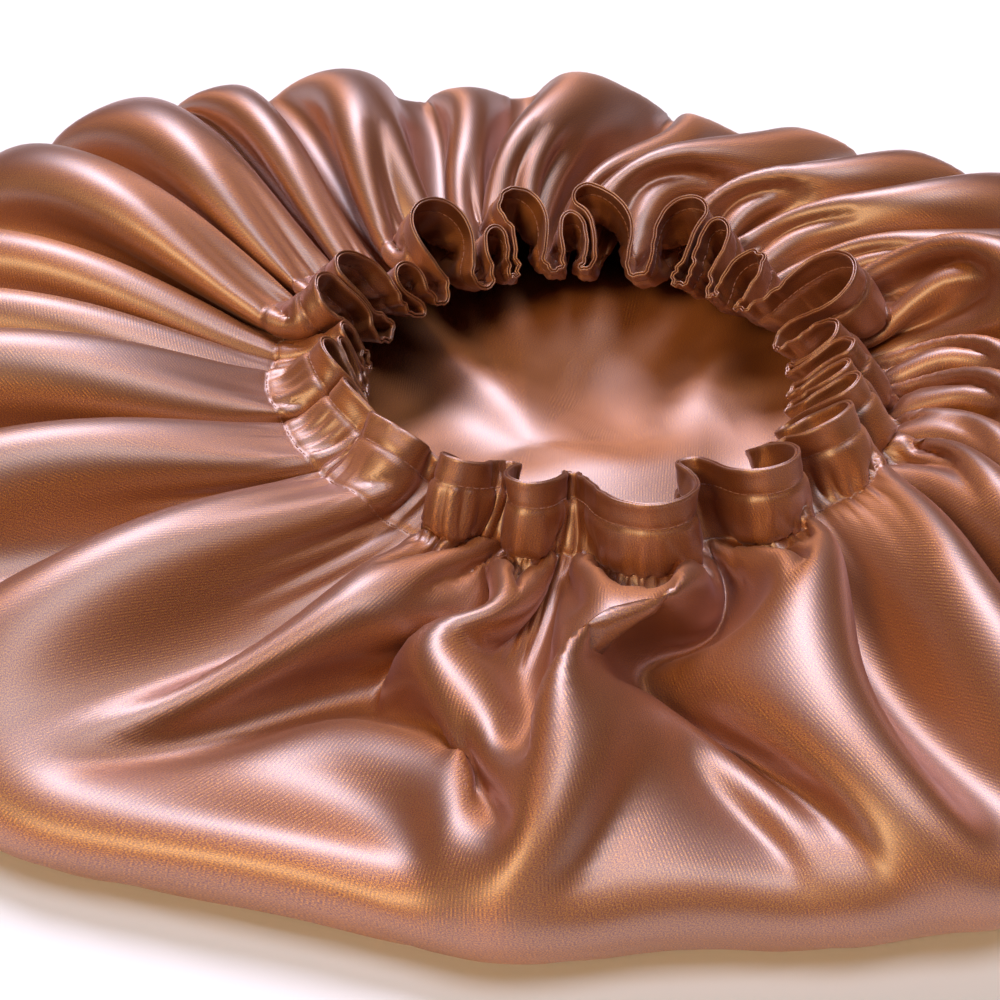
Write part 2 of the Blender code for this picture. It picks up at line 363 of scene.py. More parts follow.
def gathered_circle(arc, even, points, sizes):
    """The points of one circle of the cloth in its folds, before it is let go."""
    rows = flute_rows(even)
    radius, turn = max(at_arc(arc, "radius"), LEAST_RADIUS), at_arc(arc, "turn")
    ends = flute_ends(rows, turn)
    all_cloth = sum(row["cloth"] for row in rows)
    azimuth, up = [], []
    for row, start, end in zip(rows, ends[-1:] + ends[:-1], ends):
        cloth = 2 * np.pi * arc * puckered(arc, sizes) * row["cloth"] / all_cloth
        chord = math.radians((end - start) % 360) * radius
        along, high = fold(cloth, chord, row["crest"], points)
        high = high * at_arc(arc, "depth")
        sway = math.radians(row["sway"] + turn * (row["slump"] - row["sway"]))
        azimuth.append(start + np.degrees((along + high * math.sin(sway)) / radius))
        up.append(high * math.cos(sway))
    azimuth, up = np.concatenate(azimuth), np.concatenate(up)
    up = up - up.mean()

    lean = round_ring(azimuth, "lean")
    rise = round_ring(azimuth, "rise") * max(0.0, 1 - turn)
    above = max(arc - seams(sizes)[2], 0.0)
    banded = arc - seams(sizes)[2] + sizes.header + sizes.casing
    banded = banded / (sizes.header + sizes.casing)
    banded = float(np.clip(banded, 0, 1))
    stand = np.radians(banded * lean + (1 - banded) * at_arc(arc, "stand"))
    lean = np.radians(lean)
    across = radius + at_arc(arc, "rim") * round_bag(azimuth, "rim")
    across += up * np.cos(stand) - above * np.sin(lean)
    height = at_arc(arc, "height") + at_arc(arc, "top") * round_bag(azimuth, "top")
    height = np.maximum(height + up * np.sin(stand) + above * np.cos(lean) + rise, FLOOR)
    x = across * np.cos(np.radians(azimuth)) + CROWN_OFFSET[0] * turn
    y = across * np.sin(np.radians(azimuth)) + CROWN_OFFSET[1] * turn
    return np.stack([x, y, height], axis=1)


# Letting the sheet settle.


class Cloth:
    """A sheet as rows of points that settles into folds and keeps its flat lengths.

    points is an array of rows by columns by 3, and arcs each row's distance from the
    crown's centre along the cloth. Each step moves pairs of points to their flat distance,
    one set of pairs at a time in which no point comes twice.
    """

    def __init__(self, points, arcs):
        self.points, self.arcs = points.copy(), arcs
        self.rows, self.columns = points.shape[:2]
        cloth = np.repeat(column("cloth", FLUTES), self.columns // len(FLUTES))
        angles = 2 * np.pi * cloth / cloth.sum()
        self.angles = (angles + np.roll(angles, -1)) / 2
        self.places = np.append(0.0, np.cumsum(self.angles)[:-1])
        self.widths = arcs[:, None] * self.angles
        self.lengths = np.repeat(-np.diff(arcs)[:, None], self.columns, axis=1)
        self.close = None

    def draw(self, rows, columns, other_rows, other_columns, rest, pull, push):
        """Moves pairs of points to their rest distance, by these shares of the error."""
        first, second = np.ix_(rows, columns), np.ix_(other_rows, other_columns)
        a, b = self.points[first], self.points[second]
        step = b - a
        length = np.sqrt((step * step).sum(axis=2, keepdims=True)) + 1e-12
        error = (length - rest[:, :, None]) / length
        step *= error * np.where(error > 0, pull, push) / 2
        self.points[first] = a + step
        self.points[second] = b - step

    def keep_lengths(self, shear, bend):
        """Draws all neighbours to their lengths. shear and bend are the shares undone."""
        rows, columns = np.arange(self.rows), np.arange(self.columns)
        for start in (0, 1):
            some = np.arange(start, self.rows - 1, 2)
            self.draw(some, columns, some + 1, columns, self.lengths[some], 1.0, SQUASH)
        for start in (0, 1):
            some = np.arange(start, self.columns, 2)
            beside = (some + 1) % self.columns
            self.draw(rows, some, rows, beside, self.widths[:, some], 1.0, SQUASH)
        for side in (1, -1):
            beside = (columns + side) % self.columns
            for start in (0, 1):
                some = np.arange(start, self.rows - 1, 2)
                width = (self.widths[some] + self.widths[some + 1]) / 2
                width = width if side == 1 else np.roll(width, 1, axis=1)
                slant = np.hypot(self.lengths[some], width)
                self.draw(some, columns, some + 1, beside, slant, shear, shear * SQUASH)
        # Bending, over two points and then over four.
        for start in range(4):
            some = np.arange(start, self.rows - 2, 4)
            rest = self.lengths[some] + self.lengths[some + 1]
            self.draw(some, columns, some + 2, columns, rest, 0.0, bend)
        for start in range(4):
            some = np.arange(start, self.columns, 4)
            rest = self.widths[:, some] + self.widths[:, (some + 1) % self.columns]
            self.draw(rows, some, rows, (some + 2) % self.columns, rest, 0.0, bend)
        rows = np.flatnonzero((self.arcs < STIFF_DOWN[1]) & (self.arcs > STIFF_DOWN[0]))
        for start in range(8):
            some = rows[start::8]
            rest = (self.arcs[some] - self.arcs[some + 4])[:, None]
            rest = np.repeat(rest, self.columns, axis=1)
            self.draw(some, columns, some + 4, columns, rest, 0.0, bend)
        rows = np.flatnonzero(self.arcs < STIFF_ROUND)
        for start in range(8):
            some = np.arange(start, self.columns, 8)
            beside = [(some + k) % self.columns for k in range(4)]
            rest = sum(self.widths[np.ix_(rows, near)] for near in beside)
            self.draw(rows, some, rows, (some + 4) % self.columns, rest, 0.0, bend)

    def outward(self):
        """The unit normal at each point, out of the bonnet."""
        round_it = np.roll(self.points, -1, axis=1) - np.roll(self.points, 1, axis=1)
        down = np.gradient(self.points, axis=0)
        normal = np.cross(down, round_it)
        return normal / (np.linalg.norm(normal, axis=2, keepdims=True) + 1e-12)

    def find_close(self, reach):
        """Finds the strangers: points near in space, but far apart in the cloth.

        Space is cut into cells as wide as the reach, and each point is held against those
        in its own cell and the cells round it.
        """
        points = self.points.reshape(-1, 3)
        cells = np.floor(points / reach).astype(np.int64)
        cells -= cells.min(axis=0) - 1
        size = cells.max(axis=0) + 2
        keys = (cells[:, 0] * size[1] + cells[:, 1]) * size[2] + cells[:, 2]
        order = np.argsort(keys, kind="stable")
        keys = keys[order]
        firsts, seconds = [], []
        for jump in range(27):
            offset = ((jump // 9 - 1) * size[1] + jump // 3 % 3 - 1) * size[2] + jump % 3 - 1
            if offset < 0:
                continue
            low = np.searchsorted(keys, keys + offset, "left")
            if offset == 0:
                low = np.arange(len(keys)) + 1
            count = np.maximum(np.searchsorted(keys, keys + offset, "right") - low, 0)
            before = np.append(0, np.cumsum(count)[:-1])
            second = np.repeat(low - before, count) + np.arange(count.sum())
            firsts.append(order[np.repeat(np.arange(len(keys)), count)])
            seconds.append(order[second])
        first, second = np.concatenate(firsts), np.concatenate(seconds)
        near = np.linalg.norm(points[first] - points[second], axis=1) < reach
        first, second = first[near], second[near]
        arcs, places = self.arcs[first // self.columns], self.places[first % self.columns]
        other_arcs = self.arcs[second // self.columns]
        turn = abs(places - self.places[second % self.columns])
        turn = np.minimum(turn, 2 * np.pi - turn)
        apart = np.hypot(arcs - other_arcs, turn * (arcs + other_arcs) / 2)
        far = apart > STRANGERS * reach
        self.close = first[far], second[far]

    def keep_apart(self, distance):
        """Moves strangers nearer than this distance out to it."""
        points = self.points.reshape(-1, 3)
        first, second = self.close
        step = points[second] - points[first]
        length = np.linalg.norm(step, axis=1) + 1e-12
        near = length < distance
        first, second = first[near], second[near]
        step = step[near] * (1 - distance / length[near])[:, None] / 2
        count = len(points)
        moved = [
            np.bincount(first, step[:, axis], count) - np.bincount(second, step[:, axis], count)
            for axis in range(3)
        ]
        times = np.bincount(first, minlength=count) + np.bincount(second, minlength=count)
        points += np.stack(moved, axis=1) / np.maximum(times, 1)[:, None]
        self.points = points.reshape(self.points.shape)

    def press(self, run):
        """The first half of a round: the air in the bag, and the cloth's weight."""
        self.points += self.outward() * PRESSURE
        self.points[:, :, 2] -= run["drop"]

    def hold(self, run, number, times=1):
        """The second half of a round: the lengths, the gaps and the floor."""
        for _ in range(times):
            self.keep_lengths(run["shear"], run["bend"])
        if number % run["every"] == 0:
            self.find_close(run["reach"])
        self.keep_apart(run["gap"])
        self.points[:, :, 2] = np.maximum(self.points[:, :, 2], FLOOR)


def rounds_of(run):
    return run["rounds"]


def coarse_arcs(sizes):
    """The rows of the settling sheet, from its edge in to the crown."""
    edge, upper, lower = seams(sizes)
    rows = [edge, edge - sizes.header / 2]
    rows += list(np.linspace(upper, lower, 4))
    rows += list(np.arange(lower - 0.005, 0.118, -0.005))
    return np.array(rows + [0.10, 0.08, 0.06, 0.04, 0.02])


def broad(points):
    """The points with their folds averaged away, so that only the bag's broad form is left."""
    window = np.zeros(points.shape[1])
    reach = 5 * COARSE // 4
    window[: reach + 1] = window[-reach:] = 1.0 / (2 * reach + 1)
    waves = np.fft.rfft(points, axis=1) * np.fft.rfft(window)[None, :, None]
    return np.fft.irfft(waves, n=points.shape[1], axis=1)


def settled(sizes):
    """The gathered sheet once it has found its folds, on its way from even ones."""
    arcs = coarse_arcs(sizes)
    start = np.stack([gathered_circle(arc, 1.0, COARSE, sizes) for arc in arcs])
    goal = np.stack([gathered_circle(arc, 0.0, COARSE, sizes) for arc in arcs])
    cloth = Cloth(start, arcs)
    cloth.widths *= puckered(arcs, sizes)[:, None]
    band = slice(2, 6)
    form = broad(goal)
    firm = ramp(arcs, 0.12, 0.05)[:, None, None]
    folds = FOLD_PULL * ramp(arcs, 0.22, 0.04)[:, None, None]
    rounds = rounds_of(COARSE_RUN)
    for i in range(rounds):
        share = eased(min(1.0, i / (MOVING * rounds)))
        cloth.press(COARSE_RUN)
        ease = 1.0 - EASING * max(0.0, i / rounds - MOVING) / (1 - MOVING)
        cloth.points += firm * (form - broad(cloth.points)) * FORM_PULL * ease
        target = start * (1 - share) + goal * share
        cloth.points += (target - cloth.points) * folds * ease
        cloth.points[band] += (target - cloth.points)[band] * BAND_PULL * ease
        cloth.hold(COARSE_RUN, i, times=2 if ease < 1 else 1)
    return cloth


# The finished sheet.


def fine_arcs(sizes):
    """The rows of the finished sheet: close at the edge and the stitches, wide on the crown."""
    edge, upper, lower = seams(sizes)
    rows = list(np.linspace(edge, upper + 0.0008, 6))
    rows += [upper, upper - 0.0008]
    rows += list(np.linspace(upper - 0.0022, lower + 0.0022, 7))
    rows += [lower + 0.0008, lower, lower - 0.0008]
    rows += list(np.linspace(lower - 0.0020, lower - 0.0120, 6))
    rows += list(np.linspace(lower - 0.0155, 0.212, 33))
    rows += list(np.linspace(0.207, 0.150, 11))
    rows += list(np.linspace(0.140, 0.010, 13))
    return np.array(rows)


def cubic_weights(t):
    """Weights of four neighbours for a smooth curve through the middle two."""
    return [
        -0.5 * t + t**2 - 0.5 * t**3,
        1 - 2.5 * t**2 + 1.5 * t**3,
        0.5 * t + 2 * t**2 - 1.5 * t**3,
        -0.5 * t**2 + 0.5 * t**3,
    ]


def refined(cloth, arcs, columns):
    """The cloth's points at these arcs and this many columns, on smooth curves."""
    places = (np.arange(columns) + 0.5) * cloth.columns / columns - 0.5
    base = np.floor(places).astype(int)
    weights = cubic_weights((places - base)[None, :, None])
    wide = sum(
        weight * cloth.points[:, (base + k - 1) % cloth.columns]
        for k, weight in enumerate(weights)
    )
    last = len(cloth.arcs) - 1
    places = last - np.interp(arcs, cloth.arcs[::-1], np.arange(last + 1.0))
    base = np.clip(np.floor(places).astype(int), 0, last - 1)
    weights = cubic_weights((places - base)[:, None, None])
    return sum(
        weight * wide[np.clip(base + k - 1, 0, last)] for k, weight in enumerate(weights)
    )


def ripple(angles, waves, seed):
    """An uneven wave round the cloth, made of these numbers of waves round the circle."""
    phases = np.random.default_rng(seed).uniform(0, 2 * np.pi, len(waves))
    total = sum(np.cos(wave * angles + phase) for wave, phase in zip(waves, phases))
    return total / math.sqrt(len(waves) / 2)


def smooth_crown(points, arcs):
    """Takes the small wrinkles out of the crown, where the cloth lies loose on the floor.

    Within 120 mm of its centre only CROWN_WAVES waves round it are left, and they die out
    towards the centre.
    """
    waves = np.fft.rfft(points, axis=1)
    waves[:, CROWN_WAVES + 1 :] = 0
    waves[:, 2:] *= ramp(arcs, 0.030, 0.060)[:, None, None]
    even = np.fft.irfft(waves, n=points.shape[1], axis=1)
    share = ramp(arcs, 0.150, -0.030)[:, None, None]
    return points * (1 - share) + even * share


def wrinkles(cloth, sizes):
    """How far the seams' wrinkles lift the finished cloth, and the finest part of that.

    Each is an uneven wave round the cloth, and has its own heights along a radius.
    """
    arcs = cloth.arcs
    _, upper, lower = seams(sizes)
    past = arcs - lower
    waves = {
        "crumple": ripple(cloth.places, range(24, 70, 5), 1),
        "twist": ripple(cloth.places, range(20, 60, 5), 2),
        "pucker": ripple(cloth.places, range(190, 300, 11), 3),
        "crinkle": ripple(cloth.places, range(280, 420, 13), 4),
        "rib": ripple(cloth.places, range(430, 520, 7), 5),
    }
    bag = ramp(arcs, lower, -0.030)
    inside = np.clip(1 - abs(arcs - (upper + lower) / 2) / (sizes.casing / 2), 0, 1)
    outside = ramp(arcs, upper, sizes.header)
    height = {
        "crumple": 0.0010 * (1 - bag) * (1 - outside),
        "twist": 0.0008 * outside + 0.0003 * inside,
        "pucker": 0.0005 * hump(past + 0.008, 0.010) + 0.0001 * outside,
        "crinkle": 0.00030 * inside**0.5 + 0.00005 * outside,
        "rib": 0.0004 * hump(past + 0.005, 0.006) * (past < 0),
    }
    lift = sum(height[name][:, None] * waves[name] for name in waves)
    # The lower row of stitches pulls a groove, and the bag swells out beside it.
    lift += (-0.0008 * hump(past, 0.0016) + 0.0010 * hump(past + 0.008, 0.004))[:, None]
    fine = 0.4 * sum(height[name][:, None] * waves[name] for name in ("rib", "crinkle"))
    return lift, fine


@functools.cache
def middle_sheet(cut_radius, header, casing):
    """The sheet halfway between shell and lining: arcs, points, normals, and angles round.

    Each row of stitches draws the cloth up a little, which puckers the cloth beside it.
    """
    sizes = bpy.context.scene.bonnet_sizes
    coarse = settled(sizes)
    arcs = fine_arcs(sizes)
    cloth = Cloth(refined(coarse, arcs, len(FLUTES) * FINE), arcs)
    lift, fine = wrinkles(cloth, sizes)
    cloth.points += cloth.outward() * lift[:, :, None]
    sewn = [abs(arcs - row) < NO_DISTANCE for row in seams(sizes)[1:]]
    drawn = 1 - DRAWN * sewn[0] - DRAWN * sewn[1]
    cloth.widths *= (drawn * (LET_OUT + (1 - LET_OUT) * puckered(arcs, sizes)))[:, None]
    for i in range(rounds_of(FINE_RUN)):
        cloth.press(FINE_RUN)
        cloth.hold(FINE_RUN, i)
    cloth.points += cloth.outward() * fine[:, :, None]
    cloth.points = smooth_crown(cloth.points, arcs)
    low = np.clip(1 - cloth.points[:, :, 2] / SINK_BELOW, 0, 1)
    cloth.points[:, :, 2] -= SINK * eased(low)
    return arcs, cloth.points, cloth.outward(), cloth.places


def sheet_of(sizes):
    return middle_sheet(sizes.cut_radius, sizes.header, sizes.casing)


def offset_rows(sizes, profile, side):
    """Rows of points at these (arc, offset) places, on the outer (1) or inner (-1) side."""
    arcs, points, normals, _ = sheet_of(sizes)
    rows = []
    for arc, offset in profile:
        place = len(arcs) - 1 - np.interp(arc, arcs[::-1], np.arange(float(len(arcs))))
        row = min(int(place), len(arcs) - 2)
        share = place - row
        point = points[row] * (1 - share) + points[row + 1] * share
        normal = normals[row] * (1 - share) + normals[row + 1] * share
        rows.append(point + side * offset * normal)
    return rows


# Meshes.

# Arcs within which a face of the sheet has half, and a quarter, of the points round it.
HALVED, QUARTERED = 0.300, 0.150
# How far back from the edge each row of the rolled edge lies, and its offset from the middle
# sheet. The plain rows begin where the ROLL ends.
ROLLED_EDGE = [(0.0011, 0.00004), (0.0004, 0.00014), (0.0000, 0.00040)]
ROLLED_EDGE += [(0.0003, 0.00066), (0.0010, 0.00072), (0.0019, 0.00056)]
ROLL = 0.0024
STITCH_DEPTH, STITCH_REACH = 0.00022, 0.0007  # how far the stitches draw each face in
OVER_ELASTIC = 0.0007  # how far each face stands out over the elastic


def new_object(name, points, faces, material):
    """An object at the origin, smooth all over, that rides on the bonnet's one body."""
    if name in bpy.data.objects:
        bpy.data.objects.remove(bpy.data.objects[name])
    mesh = bpy.data.meshes.new(name)
    mesh.from_pydata(np.asarray(points).tolist(), [], faces)
    mesh.materials.append(material)
    mesh.shade_smooth()
    piece = bpy.data.objects.new(name, mesh)
    bpy.context.collection.objects.link(piece)
    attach(piece, "root")
    return piece


def band_faces(first, second):
    """Faces between two rows of point numbers round the sheet, the second as long or half."""
    faces = []
    count = len(second)
    if len(first) == count:
        for i in range(count):
            j = (i + 1) % count
            faces.append((first[i], second[i], second[j], first[j]))
        return faces
    for i in range(count):
        j = (i + 1) % count
        a, b, c = first[2 * i], first[2 * i + 1], first[2 * i + 2 - 2 * count * (j == 0)]
        faces += [(a, second[i], b), (b, second[i], second[j]), (b, second[j], c)]
    return faces


def add_uv(piece, name, places):
    """Adds a UV map that has one place for each point of the mesh."""
    corners = np.empty(len(piece.data.loops), np.int32)
    piece.data.loops.foreach_get("vertex_index", corners)
    layer = piece.data.uv_layers.new(name=name)
    layer.data.foreach_set("uv", np.asarray(places)[corners].ravel())


def sheet_mesh(name, sizes, side, material):
    """One face of the sheet from its seam to the crown's centre, with its flat cut as UVs.

    The rows nearer the centre take every second, then every fourth point round.
    """
    profile = sheet_profile(sizes)
    rows = offset_rows(sizes, profile, side)
    angles = sheet_of(sizes)[3]
    points, flat, numbers = [], [], []
    for (arc, _), row in zip(profile, rows):
        every = 1 if arc > HALVED else 2 if arc > QUARTERED else 4
        chosen = row[::every]
        numbers.append(range(len(points), len(points) + len(chosen)))
        points += list(chosen)
        turned = angles[::every]
        flat += list(np.stack([arc * np.cos(turned), arc * np.sin(turned)], axis=1))
    faces = []
    for first, second in zip(numbers, numbers[1:]):
        faces += band_faces(list(first), list(second))
    last = list(numbers[-1])
    points.append(np.mean([points[i] for i in last], axis=0))
    flat.append(np.zeros(2))
    centre = len(points) - 1
    faces += [(a, centre, b) for a, b in zip(last, last[1:] + last[:1])]
    if side < 0:
        faces = [face[::-1] for face in faces]
    piece = new_object(name, points, faces, material)
    add_uv(piece, "flat_cut", 0.5 + np.array(flat) / (2 * sizes.cut_radius))
    return piece


def sheet_profile(sizes):
    """(arc, offset) of each row of a face of the sheet, from the seam groove at its edge.

    The face rolls over its edge into the groove where the two circles are sewn together.
    It is drawn in at both rows of stitches, and stands out between them over the elastic.
    """
    edge, upper, lower = seams(sizes)
    rows = [(edge - back, offset) for back, offset in ROLLED_EDGE]
    for arc in fine_arcs(sizes):
        if arc > edge - ROLL:
            continue
        beside = min(abs(arc - upper), abs(arc - lower))
        offset = sizes.layer - STITCH_DEPTH * hump(beside, STITCH_REACH)
        inside = max(0.0, 1 - abs(arc - (upper + lower) / 2) / (sizes.casing / 2))
        offset += OVER_ELASTIC * min(1.0, inside * 3.0) ** 0.5 * (beside > NO_DISTANCE)
        rows.append((arc, offset))
    return rows


# Materials.


def linear(hex_colour):
    """The linear colour of an sRGB hex value, with alpha 1."""
    shares = [int(hex_colour[i : i + 2], 16) / 255 for i in (1, 3, 5)]
    parts = [c / 12.92 if c <= 0.04045 else ((c + 0.055) / 1.055) ** 2.4 for c in shares]
    return (*parts, 1.0)


def new_material(name):
    """A new material of this name that is one plain shader, and that shader."""
    if name in bpy.data.materials:
        bpy.data.materials.remove(bpy.data.materials[name])
    material = bpy.data.materials.new(name)
    material.use_nodes = True
    material.node_tree.nodes.clear()
    output = material.node_tree.nodes.new("ShaderNodeOutputMaterial")
    shader = material.node_tree.nodes.new("ShaderNodeBsdfPrincipled")
    material.node_tree.links.new(shader.outputs["BSDF"], output.inputs["Surface"])
    return material, shader


def set_inputs(node, **inputs):
    """Sets a node's inputs, each to a value or to an output socket of another node.

    An input's name has _ for a space, and an input that has only a number is in_0, in_1
    and so on.
    """
    for key, value in inputs.items():
        name = int(key[3:]) if key[:3] == "in_" else key.replace("_", " ")
        if isinstance(value, bpy.types.NodeSocket):
            node.id_data.links.new(value, node.inputs[name])
        else:
            node.inputs[name].default_value = value


def add_node(owner, kind, settings=None, **inputs):
    """Adds a node to a material or a world. settings are the node's own properties."""
    node = owner.node_tree.nodes.new("ShaderNode" + kind)
    for key, value in (settings or {}).items():
        setattr(node, key, value)
    set_inputs(node, **inputs)
    return node


def satin(name, colours, sizes):
    """Shot polyester satin: a rose warp that floats over a gold weft.

    The floats give a soft, pale pink gloss in a narrow cone of directions. Round it the
    weft shows gold, and where no light is mirrored the cloth is a deep red brown.
    """
    material, shader = new_material(name)
    add = functools.partial(add_node, material)
    flat = add("UVMap", {"uv_map": "flat_cut"}).outputs["UV"]
    across = sizes.cut_radius * 2000  # millimetres of cloth to one unit of the UV map
    # Warp ribs, 0.8 mm apart. The real threads are eight to a millimetre, too fine to show.
    # A wave texture has 10 / pi waves to a unit at scale 1.
    ribs = add(
        "TexWave",
        {"bands_direction": "Y"},
        Vector=flat,
        Scale=across / 0.8 * math.pi / 10,
        Distortion=0.6,
        Detail=1.0,
    )
    # Weft glints, 0.2 mm by 0.4 mm, longest across the warp. The real ones are finer too.
    glints_at = add("Mapping", Vector=flat, Scale=(across / 0.2, across / 0.4, 1.0))
    glints = add(
        "TexNoise", Vector=glints_at.outputs["Vector"], Scale=1.0, Detail=2.0
    ).outputs["Fac"]
    sparks = add(
        "MapRange",
        {"interpolation_type": "SMOOTHSTEP"},
        Value=glints,
        From_Min=0.36,
        From_Max=0.66,
    ).outputs["Result"]
    metal = add("MapRange", Value=sparks, To_Min=0.20, To_Max=0.85)
    base = add(
        "Mix",
        {"data_type": "RGBA"},
        Factor=sparks,
        A=linear(colours.satin),
        B=linear(colours.weft),
    )
    threads = add("Tangent", {"direction_type": "UV_MAP", "uv_map": "flat_cut"})
    # Where the cloth was pressed or handled it shines a little more, in patches of 60 mm.
    patches = add("TexNoise", Vector=flat, Scale=across / 60, Detail=2.0)
    rough = add("MapRange", Value=patches.outputs["Fac"], To_Min=0.46, To_Max=0.56)
    weave = add("Bump", Strength=0.16, Distance=0.0002, Height=ribs.outputs["Fac"])
    grain = add(
        "Bump",
        Strength=0.30,
        Distance=0.0002,
        Height=glints,
        Normal=weave.outputs["Normal"],
    )
    set_inputs(
        shader,
        Base_Color=base.outputs["Result"],
        Metallic=metal.outputs["Result"],
        Roughness=rough.outputs["Result"],
        Normal=grain.outputs["Normal"],
        Tangent=threads.outputs["Tangent"],
        Anisotropic=0.85,
        IOR=1.6,
        Specular_Tint=linear("#FFD8F0"),
        Coat_Weight=1.0,
        Coat_Roughness=0.43,
        Coat_IOR=2.1,
        Sheen_Weight=0.10,
        Sheen_Roughness=0.4,
        Sheen_Tint=linear("#F4CCDC"),
    )
    return material


def tones_with_painted_shade(material, shader, share, first, second, strength, distance):
    """Gives a shader a colour between two and a bump, both after one pattern. The first colour
    goes to the bump's hollows and the second to its crests, so each use paints the crests
    lighter than the hollows: painted highlight and painted shade that follow the bump.
    """
    colours = {"A": linear(first), "B": linear(second)}
    tone = add_node(material, "Mix", {"data_type": "RGBA"}, Factor=share, **colours)
    bump = add_node(material, "Bump", Strength=strength, Distance=distance, Height=share)
    set_inputs(shader, Base_Color=tone.outputs["Result"], Normal=bump.outputs["Normal"])


def spun_thread(colours):
    """Spun polyester sewing thread: matt, with a twist across it every 0.4 mm."""
    material, shader = new_material("spun_polyester_thread")
    place = add_node(material, "TexCoord").outputs["Object"]
    twist = add_node(
        material, "TexNoise", Vector=place, Scale=1 / 0.0004, Detail=1.0, Roughness=0.4
    ).outputs["Fac"]
    # The colour is lighter than the thread's own on the raised turns of the twist: a painted
    # highlight that follows the bump.
    tones_with_painted_shade(material, shader, twist, colours.thread, "#C08A76", 0.5, 0.0001)
    set_inputs(shader, Roughness=0.62, Sheen_Weight=0.3)
    return material


def knitted_elastic(colours):
    """Knitted elastic: white polyester over rubber, with a few broad ribs along it."""
    material, shader = new_material("knitted_elastic")
    ribs = add_node(
        material,
        "TexWave",
        {"bands_direction": "Y"},
        Vector=add_node(material, "UVMap", {"uv_map": "along_band"}).outputs["UV"],
        Scale=1.7,
        Distortion=0.3,
    ).outputs["Fac"]
    # The greyer #CFCBC1 lies in the hollows between the ribs, and the elastic's own colour lies
    # on the ribs: painted shade that follows the bump.
    tones_with_painted_shade(material, shader, ribs, "#CFCBC1", colours.elastic, 0.6, 0.0003)
    set_inputs(shader, Roughness=0.85, Sheen_Weight=0.2)
    return material


def painted_board(colours):
    """A painted studio board: matt white, with the faintest unevenness of a roller."""
    material, shader = new_material("matt_painted_board")
    place = add_node(material, "TexCoord").outputs["Object"]
    nap = add_node(material, "TexNoise", Vector=place, Scale=1 / 0.004, Detail=2.0)
    bump = add_node(
        material, "Bump", Strength=0.05, Distance=0.0005, Height=nap.outputs["Fac"]
    )
    set_inputs(
        shader,
        Base_Color=linear(colours.floor),
        Roughness=0.9,
        Normal=bump.outputs["Normal"],
    )
    return material


# Operators.


class BONNET_OT_shell(bpy.types.Operator):
    """Gathers the outer circle of satin"""

    bl_idname = "bonnet.shell"
    bl_label = "Outer shell"

    def execute(self, context):
        sizes, colours = context.scene.bonnet_sizes, context.scene.bonnet_colours
        material = satin("rose_gold_satin_woven", colours, sizes)
        shell = sheet_mesh("satin_shell", sizes, 1, material)
        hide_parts("outer_shell")
        return {"FINISHED"}


class BONNET_OT_lining(bpy.types.Operator):
    """Gathers the inner circle of satin, which lies in soft waves on the crown"""

    bl_idname = "bonnet.lining"
    bl_label = "Lining"

    def execute(self, context):
        sizes, colours = context.scene.bonnet_sizes, context.scene.bonnet_colours
        material = satin("rose_gold_satin_lining_woven", colours, sizes)
        lining = sheet_mesh("satin_lining", sizes, -1, material)
        lift_crown(lining)
        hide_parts("lining")
        return {"FINISHED"}


# One row per low wave of the lining on the crown: its middle, its direction, its half
# width and half length, and its height. The lining is lifted where it lies lower than
# LYING, and in full where it lies LEAVING below that.
LYING, LEAVING = 0.0048, 0.004
WAVES = table("x y turn wide long high", [
    (-0.034, 0.036, -48, 0.015, 0.055, 0.011),
    (-0.010, -0.016, 12, 0.015, 0.050, 0.009),
    (0.036, 0.034, 78, 0.013, 0.045, 0.010),
    (-0.052, -0.008, 60, 0.014, 0.035, 0.007),
    (0.020, -0.052, -20, 0.018, 0.055, 0.008),
    (0.066, -0.010, 95, 0.014, 0.045, 0.007),
    (-0.002, 0.088, 2, 0.028, 0.080, 0.016),
    (0.080, 0.030, 80, 0.024, 0.055, 0.012),
    (-0.084, 0.028, 100, 0.022, 0.050, 0.012),
])


def lift_crown(lining):
    """Raises the lining off the shell in low waves, and nowhere pushes it below."""
    points = np.empty(len(lining.data.vertices) * 3)
    lining.data.vertices.foreach_get("co", points)
    points = points.reshape(-1, 3)
    lift = np.zeros(len(points))
    for wave in WAVES:
        turn = math.radians(wave["turn"])
        x, y = points[:, 0] - wave["x"], points[:, 1] - wave["y"]
        along = (x * math.cos(turn) + y * math.sin(turn)) / wave["long"]
        across = (y * math.cos(turn) - x * math.sin(turn)) / wave["wide"]
        lift += wave["high"] * np.exp(-(along**2) - across**2)
    flat = np.clip((LYING - points[:, 2]) / LEAVING, 0, 1)
    points[:, 2] += lift * flat
    lining.data.vertices.foreach_set("co", points.ravel())
    lining.data.update()


# One side of the elastic's section: how far below the upper row of stitches each corner
# is, and its offset from the middle sheet.
ELASTIC_SIDE = [(0.0026, 0.00010), (0.0032, 0.00032), (0.0075, 0.00040)]
ELASTIC_SIDE += [(0.0118, 0.00032), (0.0124, 0.00010)]


